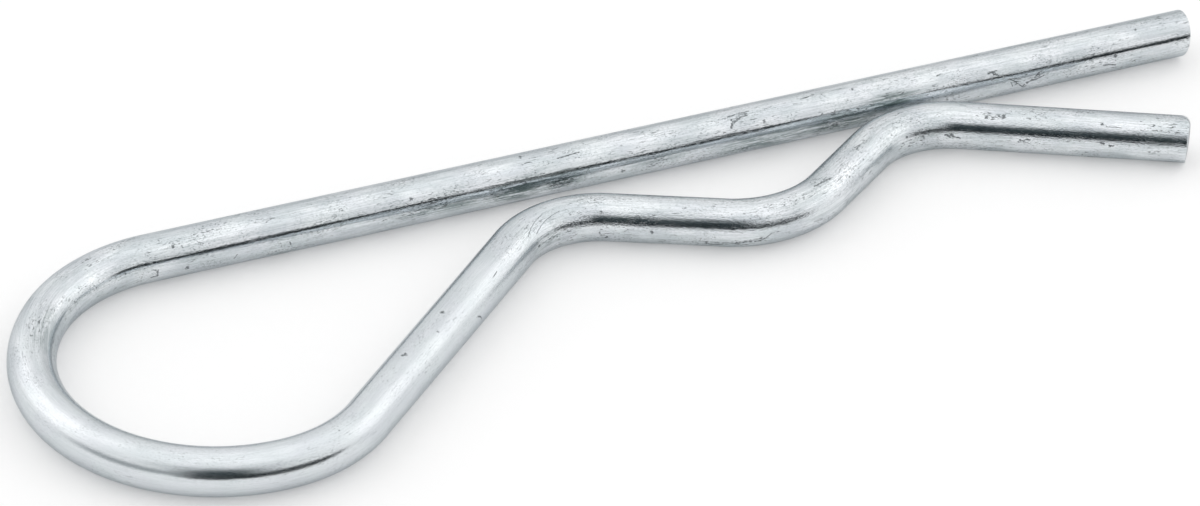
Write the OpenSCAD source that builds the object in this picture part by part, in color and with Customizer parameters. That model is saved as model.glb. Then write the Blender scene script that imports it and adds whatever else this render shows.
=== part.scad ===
// Hitch clip pin bent from one round wire, lying flat.
// The straight leg goes through the cross hole of a hitch pin, and the wavy leg grips that pin from outside.
// Origin: where the hitch pin's axis crosses the axis of the straight leg.
// +X runs along the straight leg to its free end, the wavy leg lies on the -Y side, +Z is up.

/* [Wire] */
// Diameter of the round wire
wire_d = 3; // [2:0.05:4]

/* [Hitch pin] */
// Diameter of the hitch pin that the clip holds
hitch_pin_d = 15.9; // [12.7:0.1:19]
// Room between the hitch pin and the bottom of the saddle
saddle_clearance = 0.3; // [0:0.05:1]

/* [Straight leg] */
// Distance from the hitch pin's axis to the middle of the straight leg's cut end
leg_reach = 32.4; // [22:0.1:60]
// Slant of that cut, which leaves the upper side of the leg the longer
leg_cut_slant = 9; // [0:0.5:20]

/* [Eye] */
// Distance from the hitch pin's axis back to the middle of the wire at the back of the eye
eye_reach = 47.6; // [36:0.1:80]
// Inside radius of the first bend, where the straight leg turns into the eye
eye_entry_r = 8.2; // [5:0.1:12]
// Angle of that first bend
eye_entry_turn = 52; // [20:1:80]
// Inside radius of the round back of the eye
eye_back_r = 10.1; // [7:0.1:13]
// Inside radius of the last bend, where the eye turns into the sloping run
eye_exit_r = 7.1; // [4:0.1:11]

/* [Humps and saddle] */
// Distance along the clip from the hitch pin's axis to the crest of each hump
hump_pitch = 12.1; // [11:0.1:16]
// Free gap between the straight leg and the rear hump
rear_gap = 2.4; // [1:0.1:4]
// Free gap between the straight leg and the front hump
front_gap = 0.9; // [0.4:0.1:3]
// Inside radius of the rear hump
rear_hump_r = 4.4; // [2:0.1:5]
// Inside radius of the saddle that rests on the hitch pin
saddle_r = 5.4; // [3:0.1:6]
// Inside radius of the front hump
front_hump_r = 4.6; // [2:0.1:5]

/* [Flared tip] */
// Angle at which the tip leads away from the straight leg
tip_angle = 27; // [10:1:45]
// Length of the straight tip from the front hump to the middle of its cut end
tip_length = 14.4; // [6:0.1:25]
// Slant of that cut, which leaves its rolled side the longer
tip_cut_slant = 3.5; // [0:0.5:15]
// Radius of the side that the cut has rolled over
tip_roll_r = 0.6; // [0.1:0.05:1.2]
// Angle from the top of the wire towards the straight leg at which the rolled side lies
tip_roll_turn = 30; // [-90:5:90]

/* [Hidden] */
$fn = 64;
zinc = [0.78, 0.80, 0.80];

// The wire's path is worked out in metres and enlarged at the end.
// The rounding of its angles then stays far below what the joints between its pieces can take up
mm = 0.001;

// Angle by which each bend is swept too far, before it is cut square
overrun = 5;

// Section of the wire
wire_w = wire_d * mm;
wire_r = wire_w / 2;
tip_roll = tip_roll_r * mm;

// Radii of the bends, measured to the middle of the wire
entry_r = eye_entry_r * mm + wire_r;
back_r = eye_back_r * mm + wire_r;
exit_r = eye_exit_r * mm + wire_r;
rear_r = rear_hump_r * mm + wire_r;
seat_r = saddle_r * mm + wire_r;
front_r = front_hump_r * mm + wire_r;

// Distances of the humps and the saddle from the straight leg, from middle to middle of the wire
rear_drop = wire_w + rear_gap * mm;
seat_drop = (hitch_pin_d / 2 + saddle_clearance) * mm + wire_r;
front_drop = wire_w + front_gap * mm;

// The three circles of the eye touch each other from inside, and the last two touch at the bottom of the eye
back_step = back_r - entry_r;
back_centre = [back_r - eye_reach * mm, -entry_r - back_step * cos(eye_entry_turn)];
entry_centre = back_centre + back_step * [-sin(eye_entry_turn), cos(eye_entry_turn)];
exit_centre = back_centre - [0, back_r - exit_r];

// Both humps bend round centres below the wire, and the saddle round a centre above it
rear_centre = [-hump_pitch * mm, -rear_drop - rear_r];
seat_centre = [0, seat_r - seat_drop];
front_centre = [hump_pitch * mm, -front_drop - front_r];

// Straight runs from one bend to the next, as tangents that cross between their two circles
slope_heading = heading(exit_centre, rear_centre, exit_r + rear_r);
dip_heading = heading(rear_centre, seat_centre, -rear_r - seat_r);
rise_heading = heading(seat_centre, front_centre, seat_r + front_r);
slope_length = run(exit_centre, rear_centre, exit_r + rear_r);
dip_length = run(rear_centre, seat_centre, rear_r + seat_r);
rise_length = run(seat_centre, front_centre, seat_r + front_r);
leg_length = leg_reach * mm - entry_centre[0];

// Length of the straight run between two bends of opposite hand, whose radii add up to sum_r
function run(from, to, sum_r) = sqrt(pow(norm(to - from), 2) - pow(sum_r, 2));

// Direction of that run: the line between the centres, turned by the slant of the tangent.
// sum_r is positive where the first bend turns to the left, and negative where it turns to the right
function heading(from, to, sum_r) =
    atan2(to[1] - from[1], to[0] - from[0]) + asin(sum_r / norm(to - from));

// Straight piece of wire along +X, and then whatever follows at its end
module straight(length) {
    rotate([0, 90, 0])
        cylinder(r = wire_r, h = length);
    translate([length, 0, 0])
        children();
}

// Straight piece whose end is cut at a slant, with its upper side the longer
module slant_cut(length, slant) {
    difference() {
        straight(length + wire_w);
        translate([length, 0, 0])
            rotate([0, slant, 0])
                translate([0, -wire_w, -wire_w])
                    cube(2 * wire_w);
    }
}

// Straight piece whose end is cut at a slant, with its longer side rolled over.
// That side lies at the top, and turn moves it round the wire to the left
module rolled_cut(length, slant, roll, turn) {
    difference() {
        straight(length + wire_w);
        translate([length, 0, 0])
            rotate([90 - turn, 0, 0])
                linear_extrude(height = 2 * wire_w, center = true)
                    rotate(-slant)
                        difference() {
                            translate([-roll, -2 * wire_w])
                                square([roll + 2 * wire_w, 4 * wire_w]);
                            translate([-2 * roll, -3 * wire_w])
                                square([2 * roll, 3 * wire_w + wire_r - roll]);
                            translate([-roll, wire_r - roll])
                                circle(r = roll);
                        }
    }
}

// What follows a bend, moved from the start of the bend to its end
module past_bend(centre, angle) {
    translate(centre)
        rotate([0, 0, angle])
            translate(-centre)
                children();
}

// Bend, to the left where the angle is positive, and then whatever follows at its end.
// It is swept a little too far and cut square, so that it ends on the very plane where the next piece starts
module bend(radius, angle) {
    centre = [0, sign(angle) * radius, 0];
    difference() {
        mirror([0, angle < 0 ? 1 : 0, 0])
            translate([0, radius, 0])
                rotate([0, 0, -90])
                    rotate_extrude(angle = abs(angle) + overrun)
                        translate([radius, 0])
                            circle(r = wire_r);
        past_bend(centre, angle)
            translate([0, -wire_w, -wire_w])
                cube([wire_w, 2 * wire_w, 2 * wire_w]);
    }
    past_bend(centre, angle)
        children();
}

// The whole wire: the straight leg, seen from the point where the eye starts, and then all that is bent
module clip_wire() {
    color(zinc)
        scale(1 / mm)
            translate([entry_centre[0], 0, 0]) {
                slant_cut(leg_length, leg_cut_slant);
                rotate([0, 0, 180])
                    eye();
            }
}

// Eye, from the straight leg round to the sloping run
module eye() {
    bend(entry_r, eye_entry_turn)
        bend(back_r, 180 - eye_entry_turn)
            bend(exit_r, slope_heading)
                straight(slope_length)
                    grip();
}

// Rear hump, saddle, front hump and flared tip
module grip() {
    bend(rear_r, dip_heading - slope_heading)
        straight(dip_length)
            bend(seat_r, rise_heading - dip_heading)
                straight(rise_length)
                    bend(front_r, -tip_angle - rise_heading)
                        rolled_cut(tip_length * mm, tip_cut_slant, tip_roll, tip_roll_turn);
}

clip_wire();
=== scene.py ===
"""Looks of a hitch clip pin bent from one round wire: its drawn and zinc plated surface, and a small studio.

Blender works in metres. A length written as 3 * MM is one in millimetres.
A place on the wire is (millimetres along it from the straight leg's cut end, degrees round it), where
0 degrees is the inside of the eye and 90 degrees is the top.
"""

import math

import bpy
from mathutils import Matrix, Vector, noise


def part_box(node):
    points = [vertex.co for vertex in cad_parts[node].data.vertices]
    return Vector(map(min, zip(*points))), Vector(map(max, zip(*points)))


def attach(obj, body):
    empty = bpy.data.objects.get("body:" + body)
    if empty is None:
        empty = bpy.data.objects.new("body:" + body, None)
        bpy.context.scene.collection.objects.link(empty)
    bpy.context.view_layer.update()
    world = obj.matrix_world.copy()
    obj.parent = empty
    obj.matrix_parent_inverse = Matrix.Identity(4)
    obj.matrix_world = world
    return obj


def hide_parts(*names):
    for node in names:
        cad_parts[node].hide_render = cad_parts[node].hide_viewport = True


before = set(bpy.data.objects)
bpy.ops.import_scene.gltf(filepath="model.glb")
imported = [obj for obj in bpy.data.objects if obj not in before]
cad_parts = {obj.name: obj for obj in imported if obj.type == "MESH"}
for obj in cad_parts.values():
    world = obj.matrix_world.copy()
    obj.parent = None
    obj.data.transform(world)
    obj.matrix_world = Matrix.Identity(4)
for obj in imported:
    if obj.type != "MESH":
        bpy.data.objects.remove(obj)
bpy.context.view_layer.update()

MM = 0.001
NODE = "clip_wire"

# The wire, as model.glb gives it
box_low, box_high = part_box(NODE)
WIRE_R = (box_high.z - box_low.z) / 2
LEG_CUT_SLANT = math.tan(math.radians(9))
LEG_REACH = box_high.x - WIRE_R * LEG_CUT_SLANT
EYE_REACH = -box_low.x - WIRE_R

# Bends of the eye, measured to the middle of the wire
ENTRY_R = 8.2 * MM + WIRE_R
ENTRY_TURN = math.radians(52)
BACK_R = 10.1 * MM + WIRE_R
EXIT_R = 7.1 * MM + WIRE_R

# Humps and saddle: places along the clip, distances from the straight leg to the middle of the wire,
# and radii to the middle of the wire
HUMP_PITCH = 12.1 * MM
REAR_DROP = 2.4 * MM + 2 * WIRE_R
REAR_R = 4.4 * MM + WIRE_R
SEAT_DROP = 8.25 * MM + WIRE_R
SEAT_R = 5.4 * MM + WIRE_R
FRONT_DROP = 0.9 * MM + 2 * WIRE_R
FRONT_R = 4.6 * MM + WIRE_R

# Flared tip
TIP_TURN = math.radians(-27)
TIP_LENGTH = 14.4 * MM

# The two cut ends, as (slant, radius of the side that the cut rolled over, direction of that longer side)
LEG_CUT = (LEG_CUT_SLANT, 0, math.pi / 2)
TIP_CUT = (math.tan(math.radians(3.5)), 0.6 * MM, math.radians(60))
RIM_R = 0.07 * MM
FACE_BULGE = 0.09 * MM

# Mesh of the wire: points of a ring, distance between rings, and rings of each part of a cut end
AROUND = 96
RING_STEP = 0.21 * MM
FACE_RINGS = 10
RIM_RINGS = 6
SETTLING_RINGS = 10

# Unevenness that drawing and bending leave, as (waves per mm across, waves per mm along, shift, height)
UNEVENNESS = [(0.5, 0.22, 7, 0.006 * MM), (0.9, 0.7, 31, 0.0025 * MM)]

# The part of the eye that rubbing has left smoother, as distances along the wire: where it starts,
# where it is at its smoothest, where that ends and where it all ends
CALM_STRETCH = (74 * MM, 92 * MM, 124 * MM, 136 * MM)
CALM_LEVEL = 0.35

# Patches full of nicks, as (place, half length in mm, half width in mm, strength)
NICKED_PATCHES = [
    ((2.2, 96), 1.2, 0.30, 0.8),
    ((7.5, 101), 3.0, 0.30, 0.5),
    ((11.6, 343), 0.25, 0.25, 1.0),
    ((11.9, 2), 1.3, 0.60, 0.7),
    ((12.1, 1), 0.45, 0.40, 1.0),
    ((20.6, 38), 1.4, 0.35, 1.0),
    ((24.0, 24), 3.6, 0.40, 0.9),
    ((28.5, 76), 4.0, 0.50, 0.4),
    ((31.0, 70), 1.2, 0.50, 0.7),
    ((37.2, 355), 1.0, 0.20, 0.9),
    ((43.4, 12), 1.3, 0.40, 0.7),
    ((46.4, 24), 2.6, 0.60, 0.8),
    ((52.0, 10), 4.5, 0.50, 0.6),
    ((61.5, 68), 2.0, 0.40, 0.4),
    ((73.5, 99), 3.0, 0.40, 0.5),
    ((81.0, 80), 2.6, 0.90, 0.7),
    ((131.8, 165), 2.2, 0.60, 0.8),
    ((136.7, 133), 0.6, 0.20, 1.0),
    ((137.2, 192), 0.8, 0.40, 0.8),
    ((142.0, 122), 3.0, 0.40, 0.5),
    ((144.8, 206), 2.2, 0.30, 1.0),
    ((146.4, 194), 1.4, 0.35, 1.0),
    ((148.4, 102), 2.2, 0.40, 0.7),
    ((151.4, 103), 1.0, 0.30, 1.0),
    ((151.8, 150), 1.4, 0.35, 0.6),
    ((156.0, 97), 1.5, 0.40, 1.0),
    ((160.5, 172), 2.6, 0.45, 0.8),
    ((163.9, 174), 0.9, 0.40, 1.0),
    ((166.5, 118), 1.4, 0.35, 1.0),
    ((168.5, 174), 0.7, 0.25, 1.0),
    ((169.8, 118), 2.0, 0.50, 0.55),
    ((170.0, 195), 0.5, 0.15, 0.8),
    ((172.3, 202), 1.2, 0.20, 0.9),
    ((173.3, 124), 0.6, 0.35, 1.0),
    ((173.7, 171), 0.8, 0.30, 1.0),
    ((175.8, 108), 0.5, 0.20, 0.8),
]

# Dull stains in the zinc, and on the straight leg beside the humps painted shade and a painted reflection of
# the humps, in the same form
STAINS_AND_HUMP_SHADE = [
    ((20.9, 20), 2.6, 0.75, 1.0),
    ((24.5, 358), 3.4, 0.80, 1.0),
    ((29.5, 352), 4.0, 0.80, 0.8),
    ((37.0, 8), 3.0, 0.40, 0.4),
    ((43.4, 8), 1.9, 0.80, 1.0),
    ((46.2, 5), 2.4, 1.00, 1.0),
    ((50.5, 3), 4.5, 0.50, 0.7),
    ((81.5, 62), 2.8, 0.90, 0.4),
    ((131.8, 168), 1.8, 0.60, 0.6),
    ((161.0, 160), 2.4, 0.50, 0.3),
]

# Scratches as (places along each, width in mm)
SCRATCHES = [
    ([(5.2, 348), (5.6, 353), (6.2, 357)], 0.07),
    ([(10.3, 5), (10.9, 358), (11.6, 356)], 0.06),
    ([(10.6, 16), (11.0, 4), (11.5, 351)], 0.08),
    ([(11.7, 340), (12.1, 356), (12.4, 8), (12.9, 17)], 0.08),
    ([(11.9, 9), (12.9, 17)], 0.06),
    ([(12.5, 352), (12.6, 3)], 0.05),
    ([(13.5, 31), (13.8, 38), (14.0, 45)], 0.10),
    ([(13.5, 43), (14.1, 40)], 0.07),
    ([(17.1, 66), (17.5, 61)], 0.07),
    ([(25.9, 84), (26.7, 80)], 0.07),
    ([(30.3, 78), (30.9, 77)], 0.06),
    ([(30.5, 68), (30.9, 66), (31.2, 60)], 0.10),
    ([(31.2, 76), (31.7, 74)], 0.08),
    ([(31.2, 60), (31.5, 58), (31.6, 52)], 0.12),
    ([(41.8, 66), (43.3, 62)], 0.06),
    ([(61.1, 350), (61.2, 2)], 0.06),
    ([(62.0, 68), (62.5, 60)], 0.05),
    ([(64.6, 358), (64.8, 347)], 0.06),
    ([(69.7, 3), (69.7, 345), (70.2, 345)], 0.08),
    ([(69.8, 5), (70.1, 6)], 0.06),
    ([(122.5, 164), (122.9, 172), (123.0, 182)], 0.07),
    ([(125.6, 130), (126.3, 127)], 0.04),
    ([(130.3, 132), (131.6, 116), (132.8, 106)], 0.03),
    ([(131.2, 140), (132.6, 124), (134.0, 115)], 0.03),
    ([(133.0, 152), (133.5, 151)], 0.07),
    ([(143.8, 209), (144.5, 208)], 0.07),
    ([(145.0, 203), (145.6, 200)], 0.07),
    ([(146.6, 197), (146.8, 191)], 0.06),
    ([(147.0, 184), (147.1, 179)], 0.05),
    ([(147.3, 177), (147.6, 178)], 0.04),
    ([(150.6, 100), (151.4, 103), (152.0, 108)], 0.09),
    ([(155.3, 101), (155.8, 97)], 0.09),
    ([(163.2, 170), (163.5, 172)], 0.09),
    ([(163.6, 177), (163.8, 174)], 0.07),
    ([(164.0, 175), (164.4, 178)], 0.08),
    ([(168.1, 172), (168.4, 175)], 0.08),
    ([(168.6, 171), (168.9, 171)], 0.06),
    ([(173.3, 168), (173.5, 170)], 0.10),
    ([(173.7, 127), (174.2, 126), (174.6, 128)], 0.035),
    ([(173.9, 174), (174.1, 173)], 0.08),
]

# Pits as (place, radius in mm)
PITS = [
    ((3.5, 70), 0.07),
    ((5.3, 14), 0.11),
    ((23.2, 76), 0.08),
    ((29.5, 44), 0.08),
    ((31.7, 45), 0.08),
    ((39.2, 354), 0.10),
    ((45.5, 91), 0.11),
    ((53.1, 42), 0.08),
    ((67.8, 351), 0.10),
    ((68.5, 52), 0.11),
    ((107.9, 109), 0.045),
    ((115.9, 88), 0.12),
    ((119.0, 113), 0.07),
    ((120.7, 91), 0.10),
    ((136.9, 186), 0.08),
    ((137.4, 200), 0.09),
    ((140.2, 176), 0.10),
    ((143.6, 206), 0.08),
    ((144.2, 208), 0.10),
    ((144.8, 205), 0.07),
    ((145.3, 199), 0.08),
    ((145.8, 196), 0.09),
    ((146.3, 198), 0.07),
    ((159.8, 155), 0.09),
    ((161.3, 168), 0.09),
    ((166.0, 121), 0.08),
    ((167.1, 114), 0.08),
    ((173.3, 121), 0.08),
]

# Degrees round the wire that one straight piece of a scratch may span
STROKE_STEP = 6

# Distance in mm at which a mark still matters to a ring, and what is stored where there is none:
# the way to it in half widths, and how far it is in mm
MARK_REACH = 0.6
NO_MARK = (Vector((9, 0, 0)), 1.0)

# Colours of the wire
ZINC_PALE = (0.785, 0.82, 0.84, 1)
ZINC_COOL = (0.63, 0.675, 0.70, 1)
ZINC_VIOLET = (0.78, 0.66, 0.84, 1)
ZINC_STREAK = (0.32, 0.365, 0.375, 1)
# Colour of the stains, and of the painted shade and painted reflection of the humps on the straight leg
ZINC_STAIN_AND_SHADE = (0.11, 0.152, 0.148, 1)
ZINC_DARK = (0.05, 0.06, 0.065, 1)
CUT_STEEL = (0.55, 0.56, 0.57, 1)
EDGE_TINT = (0.65, 0.67, 0.68, 1)

# Noises of the finish, as (waves per mm across the wire, waves per mm along it, detail, roughness,
# shift, twist)
NOISES = {
    "ridges": (2.6, 0.09, 1, 0.5, 67, 0),
    "streaks": (6, 0.5, 4, 0.6, 3, 0),
    "hairs": (16, 0.35, 2, 0.5, 11, 0),
    "grain": (10, 5, 3, 0.65, 17, 0),
    "clouds": (0.9, 0.3, 3, 0.55, 29, 0),
    "clusters": (0.6, 0.33, 2, 0.5, 41, 0),
    "nicks": (9, 2.4, 3, 0.6, 53, 0.8),
    "mottle": (6.5, 0.6, 5, 0.75, 71, 0),
    "specks": (13, 6, 2, 0.6, 83, 0),
    "flocks": (0.9, 0.35, 2, 0.5, 97, 0),
    "hues": (0.7, 0.4, 2, 0.5, 113, 0),
}

# A span of the finish is (low, high), which grows from 0 at low to 1 at high, or (low, high, first, last),
# which goes from first at low to last at high

# Nicks, scattered in clusters and crowded in the patches. A limit is the noise above which one shows
CLUSTER_SPAN = (0.45, 0.65)
NICK_SPAN = (0.58, 0.66)
NICK_LIMIT = (0, 1, 0.66, 0.52)
NICK_STEEPNESS = 14.0
PATCH_RIM = (0, 0.2)

# Specks, in flocks, and more of them in the stains and in the painted shade beside the humps
SPECK_LIMIT = (0.44, 0.62, 0.76, 0.60)
SPECK_LIMIT_STAINED_AND_SHADED = 0.11
SPECK_STEEPNESS = 20.0

# Single marks: the noise that makes their edges ragged, with its reach in half widths of a mark, their fade
# in half widths, the distance in mm where even that fade ends, and the breaks in them
RAGGED_WAVES = 7.0
RAGGED_DETAIL = 2.0
RAGGED_MIDDLE = (0.5, 0.5, 0.5)
RAGGED_REACH = (4, 4, 4)
MARK_FADE = (1.6, 0.9)
MARK_END = (0.35, 0.25)
MARK_BREAKS = (0.38, 0.50, 0.30, 1.0)

# Mottling that breaks up a stain and the painted shade and reflection beside the humps
MOTTLE_SPAN = (0.455, 0.525)

# How much of each colour shows. The last two are for the surface that rubbing has left smooth
CLOUD_SPAN = (0.40, 0.60)
HUE_SPAN = (0.42, 0.58)
HUE_SHARE = 0.06
STREAK_SPAN = (0.44, 0.68, 0.0, 0.28)
HAIR_SPAN = (0.48, 0.62)
HAIR_SHARE = 0.26
# More hair lines in the stains and in the painted shade and reflection beside the humps
HAIR_SHARE_STAINED_AND_SHADED = 0.6
GRAIN_SPAN = (0.34, 0.50, 0.62, 0.0)
GRAIN_FLOCKS = (0.42, 0.60, 0.35, 1.0)
# How much the stains and the painted shade and reflection of the humps darken the zinc
STAIN_AND_SHADE_SHARE = 0.92
WEAR_SHARE = 0.82
CALM_CLOUDS = (0, 1, 0.55, 0.0)
CALM_STREAKS = (0, 1, 0.13, 0.0)

# Roughness that each adds, and the least roughness of the cut faces
CLOUD_ROUGHNESS = (0.3, 0.7, 0.13, 0.075)
GRAIN_ROUGHNESS = (0.35, 0.65, 0.07, 0.0)
CALM_ROUGHNESS = (0, 1, 0.08, 0.0)
NICK_ROUGHNESS = 0.10
# The stains and the painted hump shade are a little rougher
STAIN_AND_SHADE_ROUGHNESS = 0.06
CUT_ROUGHNESS = 0.38

# Heights in mm. Bending has roughened the wire, so its grain grows through the eye, over a span that is
# in mm along the wire
STREAK_HEIGHT = 0.006
RIDGE_HEIGHT = 0.016
HAIR_HEIGHT = 0.001
GRAIN_HEIGHT = (60, 120, 0.003, 0.009)
SPECK_PER_GRAIN = 0.9
NICK_DEPTH = 0.003
MARK_DEPTH = 0.012

# Camera, which looks at the point of aim from an azimuth, counted from +X towards +Y, and an elevation
AIM = Vector((-11.3235 * MM, -9.339 * MM, 0))
CAMERA_AZIMUTH = -110.8
CAMERA_ELEVATION = 35.98
CAMERA_DISTANCE = 367.867 * MM
CAMERA_LENS = 179.548
CAMERA_NEAR = 10 * MM
SENSOR_WIDTH = 36

# Floor and world. The world has one level as light and another as it is seen
WHITE = (1, 1, 1, 1)
FLOOR_SIZE = 6
FLOOR_GREY = (0.8, 0.8, 0.8, 1)
FLOOR_GLOW = 0.2
STUDIO_LEVEL = 0.88
SEEN_LEVEL = 1.0

# Lamps as (name, azimuth, elevation, width, height, radiance of the face)
LAMP_DISTANCE = 0.8
LAMPS = [
    ("back_lamp", 132, 42, 1.2, 0.65, 0.45),
    ("right_lamp", -5, 38, 1.1, 0.65, 0.45),
]

# Light tent: its radius, the step inwards from patch to patch, cells along a patch's side, and the elevation
# that stands for a patch that goes all round
TENT_RADIUS = 0.6
LAYER_STEP = 0.01
PATCH_GRID = 24
OVERHEAD = 90

# Its patches, each nearer to the object than the one before and so in front of it:
# (name, azimuth, elevation, half width, half height, colour, opacity, share of it that is even)
PATCHES = [
    ("top_glow", 0, OVERHEAD, 90, 62, (1.22, 1.22, 1.22), 1.0, 0.25),
    ("back_glow", 134, 36, 52, 38, (1.47, 1.45, 1.44), 1.0, 0.3),
    ("right_glow", -2, 33, 52, 32, (1.38, 1.37, 1.36), 1.0, 0.3),
    ("rear_shade", 58, 6, 34, 26, (0.72, 0.72, 0.72), 0.7, 0.3),
    ("side_slit", -158, 15.5, 46, 13, (0.22, 0.25, 0.26), 0.8, 0.3),
    ("camera_shade", -116, 40, 60, 38, (0.30, 0.33, 0.34), 0.5, 0.0),
    ("camera_opening", -114, 26, 30, 27, (0.035, 0.050, 0.055), 1.0, 0.3),
    ("front_slit", -88, 9.5, 52, 12.5, (0.012, 0.018, 0.020), 1.0, 0.75),
]


def tangent_run(start, end, sum_r):
    """Length and heading of the straight run between two circles that bend opposite ways."""
    gap = end - start
    length = math.sqrt(gap.length_squared - sum_r**2)
    return length, math.atan2(gap.y, gap.x) + math.asin(sum_r / gap.length)


def wire_pieces():
    """The wire from the straight leg's free end to the tip, as (length, curvature) of each piece."""
    step = BACK_R - ENTRY_R
    back = Vector((BACK_R - EYE_REACH, -ENTRY_R - step * math.cos(ENTRY_TURN)))
    entry_x = back.x - step * math.sin(ENTRY_TURN)
    exit_centre = back - Vector((0, BACK_R - EXIT_R))
    rear = Vector((-HUMP_PITCH, -REAR_DROP - REAR_R))
    seat = Vector((0, SEAT_R - SEAT_DROP))
    front = Vector((HUMP_PITCH, -FRONT_DROP - FRONT_R))
    slope, slope_turn = tangent_run(exit_centre, rear, EXIT_R + REAR_R)
    dip, dip_turn = tangent_run(rear, seat, -REAR_R - SEAT_R)
    rise, rise_turn = tangent_run(seat, front, SEAT_R + FRONT_R)
    return [
        (LEG_REACH - entry_x, 0),
        (ENTRY_R * ENTRY_TURN, 1 / ENTRY_R),
        (BACK_R * (math.pi - ENTRY_TURN), 1 / BACK_R),
        (EXIT_R * slope_turn, 1 / EXIT_R),
        (slope, 0),
        (REAR_R * (slope_turn - dip_turn), -1 / REAR_R),
        (dip, 0),
        (SEAT_R * (rise_turn - dip_turn), 1 / SEAT_R),
        (rise, 0),
        (FRONT_R * (rise_turn - TIP_TURN), -1 / FRONT_R),
        (TIP_LENGTH, 0),
    ]


PIECES = wire_pieces()
WIRE_LENGTH = sum(length for length, _ in PIECES)


def to_left(heading):
    """Unit vector to the left of a heading."""
    return Vector((-math.sin(heading), math.cos(heading)))


def walk(along):
    """Point on the middle line at a distance along the wire, and its heading there.

    Before the start and past the end, the line runs straight on.
    """
    place = Vector((LEG_REACH, 0))
    heading = math.pi
    for index, (length, curve) in enumerate(PIECES):
        last = index == len(PIECES) - 1
        go = along if last else min(along, length)
        if curve:
            centre = place + to_left(heading) / curve
            heading += go * curve
            place = centre - to_left(heading) / curve
        else:
            place = place + go * Vector((math.cos(heading), math.sin(heading)))
        along -= go
        if along <= 0 and not last:
            break
    return place, heading


def cut_drop(cut, across, up):
    """How far the rolled side of a cut end falls back at a place of the section."""
    _, roll, turn = cut
    past = across * math.cos(turn) + up * math.sin(turn) - (WIRE_R - roll)
    past = min(roll, max(0, past))
    return roll - math.sqrt(roll**2 - past**2)


def cut_depth(cut, across, up):
    """How far a cut end stands back at a place of the section, measured from its middle."""
    slant, _, turn = cut
    return cut_drop(cut, across, up) - slant * (across * math.cos(turn) + up * math.sin(turn))


def end_rings():
    """Rings of a cut end, from its centre out, as (distance from the end, radius, share of the cut)."""
    flat = WIRE_R - RIM_R
    rings = []
    for index in range(FACE_RINGS):
        radius = flat * math.sin(math.pi / 2 * index / FACE_RINGS)
        rings.append((FACE_BULGE * ((radius / flat) ** 2 - 1), radius, 1))
    for index in range(RIM_RINGS + 1):
        angle = math.pi / 2 * index / RIM_RINGS
        rings.append((RIM_R * (1 - math.cos(angle)), flat + RIM_R * math.sin(angle), 1))
    # The form of the cut dies out over the first wire radius
    for index in range(1, SETTLING_RINGS):
        share = index / SETTLING_RINGS
        rings.append((RIM_R + (WIRE_R - RIM_R) * share, WIRE_R, 1 - share))
    return rings


def ring_list():
    """Every ring of the wire as (distance along it, radius, cut that forms it, share of that cut)."""
    rings = [(along, radius, LEG_CUT, share) for along, radius, share in end_rings()]
    body = WIRE_LENGTH - 2 * WIRE_R
    count = round(body / RING_STEP)
    for index in range(count + 1):
        rings.append((WIRE_R + body * index / count, WIRE_R, LEG_CUT, 0))
    for along, radius, share in reversed(end_rings()):
        rings.append((WIRE_LENGTH - along, radius, TIP_CUT, -share))
    return rings


def surface_lift(along, angle):
    """Small unevenness that drawing and bending leave in the wire, as a lift of its surface."""
    place = Vector((math.cos(angle), math.sin(angle), 0)) * WIRE_R / MM
    lift = 0
    for across_waves, along_waves, shift, height in UNEVENNESS:
        spot = Vector((place.x * across_waves, place.y * across_waves, along / MM * along_waves + shift))
        lift += height * noise.noise(spot)
    return lift


def surface_point(ring, angle):
    """A point of the surface: where it lies, and where it would lie on a straight wire."""
    along, radius, cut, share = ring
    reach = radius * (1 + surface_lift(along, angle) / WIRE_R)
    across = reach * math.cos(angle)
    up = reach * math.sin(angle)
    here = along + share * cut_depth(cut, across, up)
    place, heading = walk(here)
    flat = place + to_left(heading) * across
    return (flat.x, flat.y, up), (across, up, here)


def on_surface(along, degrees):
    """A place on the wire, as it would lie on a straight wire, in millimetres."""
    angle = math.radians(degrees)
    return Vector((math.cos(angle), math.sin(angle), 0)) * (WIRE_R / MM) + Vector((0, 0, along))


def stroke_points(first, second):
    """Points of a straight scratch between two places, close enough to follow the wire's round surface."""
    along, degrees = first
    end_along, end_degrees = second
    turn = (end_degrees - degrees + 180) % 360 - 180
    count = math.ceil(max(1, abs(turn) / STROKE_STEP))
    points = []
    for index in range(count + 1):
        share = index / count
        points.append(on_surface(along + (end_along - along) * share, degrees + turn * share))
    return points


def mark_lines():
    """All single marks as short lines (start, run, half width), with pits as lines that go nowhere."""
    lines = [(on_surface(*middle), Vector(), radius) for middle, radius in PITS]
    for places, width in SCRATCHES:
        for first, second in zip(places, places[1:]):
            points = stroke_points(first, second)
            lines += [(start, end - start, width / 2) for start, end in zip(points, points[1:])]
    return lines


def lines_near(lines, along):
    """The marks that a ring at a distance along the wire has near it."""
    near = []
    for line in lines:
        start, run, _ = line
        ahead = along / MM - start.z
        if min(0, run.z) - MARK_REACH < ahead < max(0, run.z) + MARK_REACH:
            near.append(line)
    return near


def nearest_mark(lines, point):
    """Way from the nearest mark to a point, in half widths of that mark, and its distance in mm."""
    best = NO_MARK
    for start, run, half in lines:
        gap = point - start
        if run.length_squared:
            gap -= run * min(1, max(0, gap.dot(run) / run.length_squared))
        if gap.length < best[1]:
            best = (gap / half, gap.length)
    return best


def roughened(along):
    """How marked the surface is at a distance along the wire, from CALM_LEVEL to 1."""
    start, calm, stir, stop = CALM_STRETCH
    calming = min(1, max(0, (along - start) / (calm - start)))
    stirring = min(1, max(0, (along - stir) / (stop - stir)))
    share = calming - stirring
    return 1 - (1 - CALM_LEVEL) * share * share * (3 - 2 * share)


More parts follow.
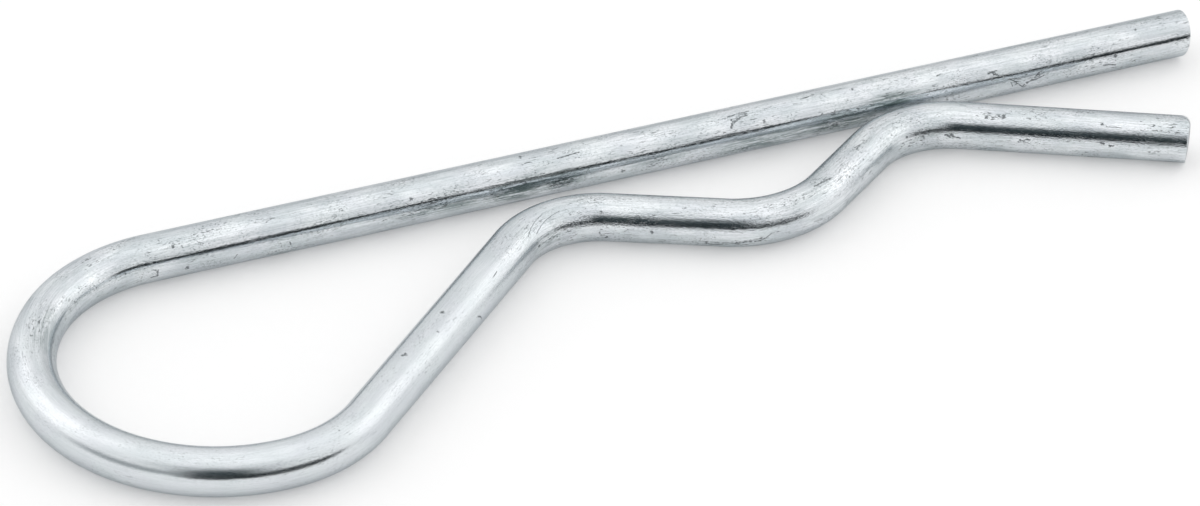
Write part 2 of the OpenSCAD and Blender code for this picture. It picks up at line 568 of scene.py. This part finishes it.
def patch_share(patches, along, angle):
    """How much of a soft patch lies at a place on the surface, given in metres and radians."""
    best = 0
    for (middle, degrees), half_length, half_width, strength in patches:
        ahead = (along / MM - middle) / half_length
        if abs(ahead) > 1:
            continue
        turn = (angle - math.radians(degrees) + math.pi) % (2 * math.pi) - math.pi
        reach = math.hypot(ahead, turn * WIRE_R / MM / half_width)
        if reach < 1:
            best = max(best, strength * (1 - reach * reach))
    return best


def surface_facts(ring, angle, straight, near_lines):
    """What the finish reads at a point of the surface, by the name of the mesh's attribute."""
    along, radius, cut, _ = ring
    across, up, here = straight
    way, gap = nearest_mark(near_lines, Vector(straight) / MM)
    on_face = radius < WIRE_R - RIM_R and cut_drop(cut, across, up) < RIM_R
    return {
        "straight_wire": straight,
        "marked": roughened(along),
        "nicked": patch_share(NICKED_PATCHES, here, angle),
        "stained_and_shaded": patch_share(STAINS_AND_HUMP_SHADE, here, angle),
        # Stains, and the painted shade and reflection of the humps on the straight leg
        "cut_face": float(on_face),
        "mark_way": way,
        "mark_gap": gap,
    }


def tube_faces(last):
    """Faces of a closed tube: point 0 at one end, rings of AROUND points, and a last point at the other."""
    ring_count = (last - 1) // AROUND
    faces = []
    for ring in range(ring_count - 1):
        first = 1 + ring * AROUND
        for index in range(AROUND):
            a = first + index
            b = first + (index + 1) % AROUND
            faces.append((a, a + AROUND, b + AROUND, b))
    for index in range(AROUND):
        after = (index + 1) % AROUND
        faces.append((0, 1 + index, 1 + after))
        faces.append((last, last - AROUND + after, last - AROUND + index))
    return faces


def store_facts(mesh, facts):
    """Write what is known of every point into attributes of the mesh."""
    for name in facts[0]:
        values = [fact[name] for fact in facts]
        if name in ("straight_wire", "mark_way"):
            numbers = [number for vector in values for number in vector]
            mesh.attributes.new(name, "FLOAT_VECTOR", "POINT").data.foreach_set("vector", numbers)
        else:
            mesh.attributes.new(name, "FLOAT", "POINT").data.foreach_set("value", values)


def add_object(name, data):
    """A new object in the scene."""
    thing = bpy.data.objects.new(name, data)
    bpy.context.scene.collection.objects.link(thing)
    return thing


def make_wire():
    """The wire as one mesh, with what its finish needs to know stored at every point."""
    verts = []
    facts = []
    lines = mark_lines()
    for ring in ring_list():
        along, radius, _, _ = ring
        near_lines = lines_near(lines, along)
        for index in range(AROUND if radius else 1):
            angle = 2 * math.pi * index / AROUND
            vert, straight = surface_point(ring, angle)
            verts.append(vert)
            facts.append(surface_facts(ring, angle, straight, near_lines))
    mesh = bpy.data.meshes.new("bent_wire")
    mesh.from_pydata(verts, [], tube_faces(len(verts) - 1))
    store_facts(mesh, facts)
    mesh.polygons.foreach_set("use_smooth", [True] * len(mesh.polygons))
    mesh.update()
    return add_object("bent_wire", mesh)


class Nodes:
    """Short calls to add and join the nodes of a material or a world."""

    def __init__(self, owner):
        """Start that material's or world's tree with nothing in it."""
        owner.use_nodes = True
        self.tree = owner.node_tree
        self.tree.nodes.clear()

    def add(self, kind, inputs=None, **settings):
        """A new node with its settings made and its inputs fed."""
        node = self.tree.nodes.new(kind)
        for name, value in settings.items():
            setattr(node, name, value)
        for name, value in (inputs or {}).items():
            self.feed(node.inputs[name], value)
        return node

    def feed(self, socket, value):
        """Link another node's output to an input, or set the input to a plain value."""
        if isinstance(value, bpy.types.NodeSocket):
            self.tree.links.new(value, socket)
        else:
            socket.default_value = value

    def attribute(self, name, output="Fac"):
        """What the mesh has stored under a name."""
        return self.add("ShaderNodeAttribute", attribute_name=name).outputs[output]

    def calc(self, operation, *values, clamp=False):
        """Result of a Math node."""
        node = self.add("ShaderNodeMath", dict(enumerate(values)), operation=operation, use_clamp=clamp)
        return node.outputs[0]

    def fold(self, operation, first, *others):
        """All the values joined by one operation, from the first on."""
        for other in others:
            first = self.calc(operation, first, other)
        return first

    def product(self, *values):
        """All the values multiplied."""
        return self.fold("MULTIPLY", *values)

    def total(self, *values):
        """All the values added up."""
        return self.fold("ADD", *values)

    def largest(self, *values):
        """The largest of the values."""
        return self.fold("MAXIMUM", *values)

    def steep(self, value, limit, steepness):
        """Share that grows from 0 at a limit to 1 a little above it."""
        return self.calc("MULTIPLY", self.calc("SUBTRACT", value, limit), steepness, clamp=True)

    def span(self, value, low, high, to_low=0.0, to_high=1.0):
        """The value's place between low and high, as one between to_low and to_high, and held there."""
        node = self.add("ShaderNodeMapRange", {
            "Value": value, "From Min": low, "From Max": high, "To Min": to_low, "To Max": to_high})
        return node.outputs[0]

    def mix(self, share, first, second):
        """First colour with a share of the second."""
        node = self.add("ShaderNodeMix", {0: share, 6: first, 7: second}, data_type="RGBA")
        return node.outputs[2]

    def noise(self, place, across_waves, along_waves, detail, roughness, shift, twist):
        """Noise that is drawn out along the wire."""
        spot = self.add("ShaderNodeMapping", {
            "Vector": place, "Scale": (across_waves, across_waves, along_waves),
            "Location": (shift, shift, shift)}).outputs[0]
        node = self.add("ShaderNodeTexNoise", {
            "Vector": spot, "Scale": 1.0, "Detail": detail, "Roughness": roughness, "Distortion": twist})
        return node.outputs[0]


def single_marks(nodes, place_mm):
    """1 on the scratches and pits that the mesh knows of, with ragged edges, and 0 elsewhere."""
    way = nodes.attribute("mark_way", "Vector")
    gap = nodes.attribute("mark_gap")
    wobble = nodes.add("ShaderNodeTexNoise", {
        "Vector": place_mm, "Scale": RAGGED_WAVES, "Detail": RAGGED_DETAIL}).outputs["Color"]
    centred = nodes.add("ShaderNodeVectorMath", {0: wobble, 1: RAGGED_MIDDLE}, operation="SUBTRACT")
    ragged = nodes.add("ShaderNodeVectorMath", {
        0: centred.outputs[0], 1: RAGGED_REACH, 2: way}, operation="MULTIPLY_ADD")
    reach = nodes.add("ShaderNodeVectorMath", {0: ragged.outputs[0]}, operation="LENGTH").outputs["Value"]
    return nodes.product(nodes.span(reach, *MARK_FADE), nodes.span(gap, *MARK_END))


def wear_shares(nodes, place_mm, mesh, noises):
    """How much lies at each place of a nick, a speck, a single mark, and the stains with the painted shade
    and reflection of the humps.
    """
    clusters = nodes.span(noises["clusters"], *CLUSTER_SPAN)
    scattered = nodes.product(clusters, mesh["marked"], nodes.span(noises["nicks"], *NICK_SPAN))
    crowded = nodes.steep(noises["nicks"], nodes.span(mesh["nicked"], *NICK_LIMIT), NICK_STEEPNESS)
    crowded = nodes.product(crowded, nodes.span(mesh["nicked"], *PATCH_RIM))
    speck_limit = nodes.calc(
        "SUBTRACT", nodes.span(noises["flocks"], *SPECK_LIMIT),
        nodes.product(mesh["stained_and_shaded"], SPECK_LIMIT_STAINED_AND_SHADED))
    specks = nodes.steep(noises["specks"], speck_limit, SPECK_STEEPNESS)
    breaks = nodes.span(noises["grain"], *MARK_BREAKS)
    return {
        "nicks": nodes.largest(scattered, crowded),
        "specks": nodes.product(specks, mesh["marked"]),
        "marks": nodes.product(single_marks(nodes, place_mm), breaks),
        # Stains, and painted shade and a painted reflection of the humps on the straight leg
        "stains_and_shade": nodes.product(mesh["stained_and_shaded"], nodes.span(noises["mottle"], *MOTTLE_SPAN)),
    }


def plated_colour(nodes, mesh, noises):
    """Clean zinc: paler and cooler clouds, with a faint change of hue."""
    cloudy = nodes.total(
        nodes.product(nodes.span(noises["clouds"], *CLOUD_SPAN), mesh["marked"]),
        nodes.span(mesh["marked"], *CALM_CLOUDS))
    plated = nodes.mix(cloudy, ZINC_COOL, ZINC_PALE)
    tinted = nodes.mix(HUE_SHARE, plated, ZINC_VIOLET)
    return nodes.mix(nodes.span(noises["hues"], *HUE_SPAN), plated, tinted)


def zinc_colour(nodes, mesh, noises, wear):
    """Zinc with its streaks, hair lines, grain, stains and wear, the painted shade and reflection of the
    humps on the straight leg, and steel on the cut faces.
    """
    marked = mesh["marked"]
    hair_level = nodes.total(
        nodes.product(marked, HAIR_SHARE), nodes.product(mesh["stained_and_shaded"], HAIR_SHARE_STAINED_AND_SHADED))
    grain_level = nodes.product(nodes.span(noises["flocks"], *GRAIN_FLOCKS), marked)
    worn = nodes.largest(wear["nicks"], wear["marks"], wear["specks"])
    layers = [
        (nodes.span(marked, *CALM_STREAKS), ZINC_STREAK),
        (nodes.product(nodes.span(noises["streaks"], *STREAK_SPAN), marked), ZINC_STREAK),
        (nodes.product(nodes.span(noises["hairs"], *HAIR_SPAN), hair_level), ZINC_STREAK),
        (nodes.product(nodes.span(noises["grain"], *GRAIN_SPAN), grain_level), ZINC_STREAK),
        # Stains, and the painted shade and painted reflection of the humps on the straight leg beside them
        (nodes.product(wear["stains_and_shade"], STAIN_AND_SHADE_SHARE), ZINC_STAIN_AND_SHADE),
        (nodes.product(worn, WEAR_SHARE), ZINC_DARK),
        (mesh["cut_face"], CUT_STEEL),
    ]
    colour = plated_colour(nodes, mesh, noises)
    for share, tint in layers:
        colour = nodes.mix(share, colour, tint)
    return colour


def zinc_roughness(nodes, mesh, noises, wear):
    """Roughness of the zinc, which wear and grain add to, and of the cut faces."""
    zinc = nodes.total(
        nodes.span(noises["clouds"], *CLOUD_ROUGHNESS),
        nodes.span(noises["grain"], *GRAIN_ROUGHNESS),
        nodes.product(wear["nicks"], NICK_ROUGHNESS),
        nodes.product(wear["stains_and_shade"], STAIN_AND_SHADE_ROUGHNESS),
        nodes.span(mesh["marked"], *CALM_ROUGHNESS))
    return nodes.largest(zinc, nodes.product(mesh["cut_face"], CUT_ROUGHNESS))


def zinc_bump(nodes, place_mm, mesh, noises, wear):
    """Relief of the drawn wire: ridges, streaks and hair lines, the grain from bending, nicks and marks."""
    along = nodes.add("ShaderNodeSeparateXYZ", {0: place_mm}).outputs[2]
    grain_height = nodes.span(along, *GRAIN_HEIGHT)
    drawn = nodes.total(
        nodes.product(noises["streaks"], STREAK_HEIGHT),
        nodes.product(noises["ridges"], RIDGE_HEIGHT),
        nodes.product(noises["hairs"], HAIR_HEIGHT),
        nodes.product(noises["grain"], grain_height),
        nodes.product(noises["specks"], grain_height, SPECK_PER_GRAIN))
    height = nodes.total(
        nodes.product(drawn, mesh["marked"]),
        nodes.product(wear["nicks"], -NICK_DEPTH),
        nodes.product(wear["marks"], -MARK_DEPTH))
    bump = nodes.add("ShaderNodeBump", {"Strength": 1.0, "Distance": MM, "Height": height})
    return bump.outputs[0]


def zinc_finish():
    """Bright zinc over drawn wire, worn in places, with bare steel on the cut faces."""
    material = bpy.data.materials.new("zinc_wire_finish")
    nodes = Nodes(material)
    place = nodes.attribute("straight_wire", "Vector")
    place_mm = nodes.add("ShaderNodeVectorMath", {0: place, "Scale": 1 / MM}, operation="SCALE").outputs[0]
    mesh = {name: nodes.attribute(name) for name in ("marked", "nicked", "stained_and_shaded", "cut_face")}
    noises = {name: nodes.noise(place_mm, *values) for name, values in NOISES.items()}
    wear = wear_shares(nodes, place_mm, mesh, noises)
    shader = nodes.add("ShaderNodeBsdfPrincipled", {
        "Base Color": zinc_colour(nodes, mesh, noises, wear),
        "Metallic": 1.0,
        "Roughness": zinc_roughness(nodes, mesh, noises, wear),
        "Specular Tint": EDGE_TINT,
        "Normal": zinc_bump(nodes, place_mm, mesh, noises, wear),
    })
    nodes.add("ShaderNodeOutputMaterial", {"Surface": shader.outputs[0]})
    return material


def towards(azimuth, elevation):
    """Unit vector towards a place seen from the object, with azimuth from +X towards +Y, in degrees."""
    turn = math.radians(azimuth)
    rise = math.radians(elevation)
    return Vector((math.cos(rise) * math.cos(turn), math.cos(rise) * math.sin(turn), math.sin(rise)))


def look_from(thing, azimuth, elevation, distance):
    """Stand a camera or a lamp at a place seen from the point of aim, and turn it to that point."""
    back = towards(azimuth, elevation)
    thing.location = AIM + back * distance
    thing.rotation_euler = (-back).to_track_quat("-Z", "Y").to_euler()


def make_camera():
    """The photo's camera."""
    camera = add_object("camera", bpy.data.cameras.new("camera"))
    camera.data.lens = CAMERA_LENS
    camera.data.sensor_fit = "HORIZONTAL"
    camera.data.sensor_width = SENSOR_WIDTH
    camera.data.clip_start = CAMERA_NEAR
    look_from(camera, CAMERA_AZIMUTH, CAMERA_ELEVATION, CAMERA_DISTANCE)
    bpy.context.scene.camera = camera


def seen_directly(nodes):
    """1 for camera, glossy and transmission rays, which see the background, and 0 for those that light."""
    path = nodes.add("ShaderNodeLightPath").outputs
    return nodes.largest(path["Is Camera Ray"], path["Is Glossy Ray"], path["Is Transmission Ray"])


def floor_paper():
    """Pale paper that takes a shadow, with a little glow that only what looks at it sees."""
    material = bpy.data.materials.new("floor")
    nodes = Nodes(material)
    paper = nodes.add("ShaderNodeBsdfDiffuse", {"Color": FLOOR_GREY}).outputs[0]
    strength = nodes.product(seen_directly(nodes), FLOOR_GLOW)
    glow = nodes.add("ShaderNodeEmission", {"Color": WHITE, "Strength": strength}).outputs[0]
    both = nodes.add("ShaderNodeAddShader", {0: paper, 1: glow}).outputs[0]
    nodes.add("ShaderNodeOutputMaterial", {"Surface": both})
    return material


def make_floor():
    """Plain floor that the clip lies on."""
    half = FLOOR_SIZE / 2
    mesh = bpy.data.meshes.new("floor")
    corners = [(-half, -half), (half, -half), (half, half), (-half, half)]
    mesh.from_pydata([(x, y, box_low.z) for x, y in corners], [], [(0, 1, 2, 3)])
    mesh.materials.append(floor_paper())
    add_object("floor", mesh)


def make_world():
    """Even white light from all round, and a white background."""
    world = bpy.data.worlds.new("studio")
    bpy.context.scene.world = world
    nodes = Nodes(world)
    level = nodes.span(seen_directly(nodes), 0, 1, STUDIO_LEVEL, SEEN_LEVEL)
    sky = nodes.add("ShaderNodeBackground", {"Color": WHITE, "Strength": level}).outputs[0]
    nodes.add("ShaderNodeOutputWorld", {"Surface": sky})


def make_lamp(name, azimuth, elevation, width, height, radiance):
    """Area lamp that looks at the object. Its power follows from how bright its face is.

    The metal doesn't show its hard outline: it shows the glow that such a lamp makes on the tent's cloth.
    """
    data = bpy.data.lights.new(name, "AREA")
    data.shape = "RECTANGLE"
    data.size = width
    data.size_y = height
    data.energy = radiance * math.pi * width * height
    lamp = add_object(name, data)
    look_from(lamp, azimuth, elevation, LAMP_DISTANCE)
    lamp.visible_glossy = False


def patch_material(name, colour, opacity, core, all_round):
    """Glowing cloth of one brightness, which fades out towards the patch's rim."""
    material = bpy.data.materials.new(name)
    nodes = Nodes(material)
    spot = nodes.add("ShaderNodeUVMap", uv_map="patch").outputs[0]
    sideways = 0 if all_round else 2
    centred = nodes.add("ShaderNodeMapping", {
        "Vector": spot, "Location": (-sideways / 2, -1, 0), "Scale": (sideways, 2, 0)}).outputs[0]
    reach = nodes.add("ShaderNodeVectorMath", {0: centred}, operation="LENGTH").outputs["Value"]
    fade = nodes.add("ShaderNodeMapRange", {
        "Value": reach, "From Min": core, "From Max": 1.0, "To Min": opacity, "To Max": 0.0},
        interpolation_type="SMOOTHSTEP").outputs[0]
    glow = nodes.add("ShaderNodeEmission", {"Color": (*colour, 1), "Strength": 1.0}).outputs[0]
    clear = nodes.add("ShaderNodeBsdfTransparent").outputs[0]
    shown = nodes.add("ShaderNodeMixShader", {0: fade, 1: clear, 2: glow}).outputs[0]
    nodes.add("ShaderNodeOutputMaterial", {"Surface": shown})
    return material


def patch_mesh(name, radius, azimuth, elevation, half_azimuth, half_elevation):
    """Piece of a sphere round the point of aim, with a UV map that runs from 0 to 1 each way."""
    verts = []
    uvs = []
    faces = []
    row_size = PATCH_GRID + 1
    for row in range(row_size):
        for column in range(row_size):
            u = column / PATCH_GRID
            v = row / PATCH_GRID
            turn = azimuth + (2 * u - 1) * half_azimuth
            rise = elevation + (2 * v - 1) * half_elevation
            verts.append(AIM + towards(turn, rise) * radius)
            uvs.append((u, v))
            if row < PATCH_GRID and column < PATCH_GRID:
                a = row * row_size + column
                faces.append((a, a + 1, a + row_size + 1, a + row_size))
    mesh = bpy.data.meshes.new(name)
    mesh.from_pydata(verts, [], faces)
    uv_layer = mesh.uv_layers.new(name="patch")
    for loop in mesh.loops:
        uv_layer.data[loop.index].uv = uvs[loop.vertex_index]
    return mesh


def make_patch(layer, name, azimuth, elevation, half_azimuth, half_elevation, colour, opacity, core):
    """Bright or dark patch of the light tent round the object, which only reflections see.

    One that lies overhead goes all round, and fades only with elevation.
    """
    radius = TENT_RADIUS - LAYER_STEP * layer
    mesh = patch_mesh(name, radius, azimuth, elevation, half_azimuth, half_elevation)
    mesh.materials.append(patch_material(name, colour, opacity, core, elevation == OVERHEAD))
    patch = add_object(name, mesh)
    for ray in ("camera", "diffuse", "transmission", "volume_scatter", "shadow"):
        setattr(patch, "visible_" + ray, False)


# The clip
wire = make_wire()
wire.data.materials.append(zinc_finish())
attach(wire, "root")
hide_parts(NODE)

# The studio round it
make_camera()
make_floor()
make_world()
for lamp in LAMPS:
    make_lamp(*lamp)
for layer, patch in enumerate(PATCHES):
    make_patch(layer, *patch)
bpy.context.scene.view_settings.view_transform = "Standard"
